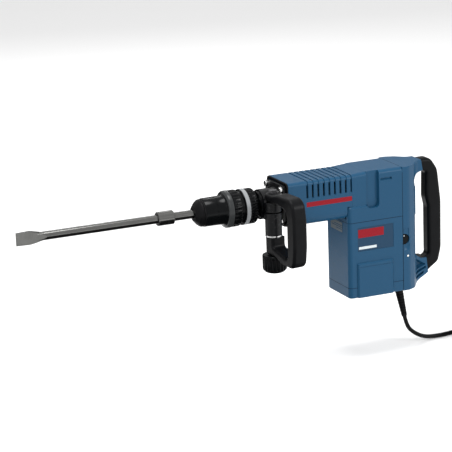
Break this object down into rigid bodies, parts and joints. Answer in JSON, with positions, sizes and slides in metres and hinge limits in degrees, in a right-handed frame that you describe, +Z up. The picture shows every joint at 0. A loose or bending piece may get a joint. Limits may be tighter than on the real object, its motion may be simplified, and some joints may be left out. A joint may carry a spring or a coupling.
{
  "type": "demolition hammer",
  "caption": "Electric demolition hammer with a flat chisel, quick chuck, swivelling D side handle, bow rear handle and a coiled mains lead.",
  "frame": {"origin": "middle of the rear grip, where the hand holds the tool", "axes": "+X along the barrel from the chisel to the rear handle, +Z up with the motor hanging below the barrel, -Y towards the side handle"},
  "size_m": [1.1113, 0.2967, 0.4128],
  "materials": {
    "blue_plastic": "fine-grained satin moulded plastic",
    "black_plastic": "satin glass-filled plastic",
    "soft_grip": "soft-touch overmould",
    "black_rubber": "matt rubber",
    "cord_rubber": "matt rubber sheath",
    "cast_black": "black coated casting",
    "cast_alloy": "as cast",
    "tool_steel": "ground and polished",
    "bright_steel": "bright plated",
    "hard_steel": "hardened, oiled",
    "dark_steel": "blackened",
    "laminated_steel": "varnished laminations",
    "copper_bars": "turned copper",
    "brass": "pressed",
    "carbon": "pressed carbon",
    "seal_rubber": "smooth",
    "nylon": "natural nylon",
    "lamp_lens": "clear lens"
  },
  "bodies": {
    "tool_body": {"barrel_casting": "cast_black", "barrel_shroud": "blue_plastic", "flange_gasket": "black_rubber", "flange_screws": "bright_steel", "gear_cover": "blue_plastic", "motor_housing": "blue_plastic", "bottom_cap": "blue_plastic", "foot_pad": "black_rubber", "side_panel_left": "blue_plastic", "side_panel_right": "blue_plastic", "housing_screws": "dark_steel", "rear_cover": "blue_plastic", "rear_grip": "soft_grip", "switch_body": "nylon", "speed_dial_base": "nylon", "control_module": "black_plastic", "service_lamp": "lamp_lens", "cylinder": "hard_steel", "crank_bearings": "hard_steel", "crankcase": "cast_alloy", "crankcase_lid": "cast_alloy", "armature_bearings": "hard_steel", "stator": "laminated_steel", "brush_holders": "brass", "carbon_brushes": "carbon", "cord_boot": "black_rubber", "cord_grip": "nylon", "cord_tube": "cord_rubber", "cord_coil": "cord_rubber", "coil_tie": "black_rubber", "plug": "black_rubber", "plug_pins": "bright_steel"},
    "tool_holder": {"tool_holder": "hard_steel", "locking_rollers": "hard_steel", "dust_cap": "black_rubber"},
    "locking_sleeve": {"locking_sleeve": "black_plastic"},
    "angle_ring": {"angle_ring": "black_plastic", "angle_ring_band": "bright_steel"},
    "chisel": {"chisel": "tool_steel"},
    "impact_bolt": {"impact_bolt": "hard_steel"},
    "striker": {"striker": "hard_steel", "striker_ring": "seal_rubber"},
    "piston": {"piston": "cast_alloy", "piston_ring": "seal_rubber", "wrist_pin": "hard_steel"},
    "connecting_rod": {"connecting_rod": "cast_alloy"},
    "crank": {"crank_gear": "hard_steel"},
    "armature": {"armature_shaft": "hard_steel", "rotor_core": "laminated_steel", "commutator": "copper_bars", "fan": "nylon"},
    "handle_clamp": {"handle_clamp": "cast_black", "handle_bolt": "dark_steel", "tooth_ring": "bright_steel"},
    "handle_bow": {"handle_bow": "soft_grip"},
    "clamp_nut": {"clamp_nut": "black_plastic"},
    "switch_rocker": {"switch_rocker": "black_plastic"},
    "speed_wheel": {"speed_wheel": "black_plastic"}
  },
  "joints": [
    {"name": "tool_turn", "type": "hinge", "parent": "tool_body", "child": "tool_holder", "pos_m": [-0.397, 0, 0.068], "axis": [1, 0, 0], "continuous": true},
    {"name": "sleeve_slide", "type": "slide", "parent": "tool_holder", "child": "locking_sleeve", "axis": [1, 0, 0], "range_m": [0, 0.005], "stiffness_N_per_m": 1500, "springref_m": -0.012},
    {"name": "ring_slide", "type": "slide", "parent": "tool_holder", "child": "angle_ring", "axis": [-1, 0, 0], "range_m": [0, 0.0016], "stiffness_N_per_m": 1500, "springref_m": -0.012},
    {"name": "chisel_slide", "type": "slide", "parent": "tool_holder", "child": "chisel", "axis": [1, 0, 0], "range_m": [0, 0.015]},
    {"name": "impact_slide", "type": "slide", "parent": "tool_body", "child": "impact_bolt", "axis": [1, 0, 0], "range_m": [-0.008, 0]},
    {"name": "striker_slide", "type": "slide", "parent": "tool_body", "child": "striker", "axis": [1, 0, 0], "range_m": [0, 0.018]},
    {"name": "piston_slide", "type": "slide", "parent": "tool_body", "child": "piston", "axis": [1, 0, 0], "range_m": [-0.028, 0]},
    {"name": "rod_swing", "type": "hinge", "parent": "piston", "child": "connecting_rod", "pos_m": [-0.255, 0, 0.068], "axis": [0, 0, 1], "range_deg": [-9.83, 9.83]},
    {"name": "armature_spin", "type": "hinge", "parent": "tool_body", "child": "armature", "pos_m": [-0.152, 0, -0.032], "axis": [0, 0, 1], "continuous": true},
    {"name": "crank_spin", "type": "hinge", "parent": "tool_body", "child": "crank", "pos_m": [-0.187, 0, 0.038], "axis": [0, 0, 1], "continuous": true},
    {"name": "handle_swivel", "type": "hinge", "parent": "tool_body", "child": "handle_clamp", "pos_m": [-0.397, 0, 0.068], "axis": [1, 0, 0], "continuous": true},
    {"name": "bow_pivot", "type": "hinge", "parent": "handle_clamp", "child": "handle_bow", "pos_m": [-0.397, -0.046, 0.048], "axis": [0, 0, 1], "range_deg": [-60, 40]},
    {"name": "nut_turn", "type": "hinge", "parent": "handle_clamp", "child": "clamp_nut", "pos_m": [-0.397, -0.046, -0.042], "axis": [0, 0, 1], "continuous": true},
    {"name": "rocker_tilt", "type": "hinge", "parent": "tool_body", "child": "switch_rocker", "pos_m": [-0.058, 0, 0.035], "axis": [0, 1, 0], "range_deg": [-6, 6]},
    {"name": "wheel_turn", "type": "hinge", "parent": "tool_body", "child": "speed_wheel", "pos_m": [-0.095, -0.0467, -0.04], "axis": [0, 1, 0], "range_deg": [-135, 135]}
  ],
  "couplings": [
    {"joint": "crank_spin", "follows": "armature_spin", "ratio": -0.24444}
  ]
}
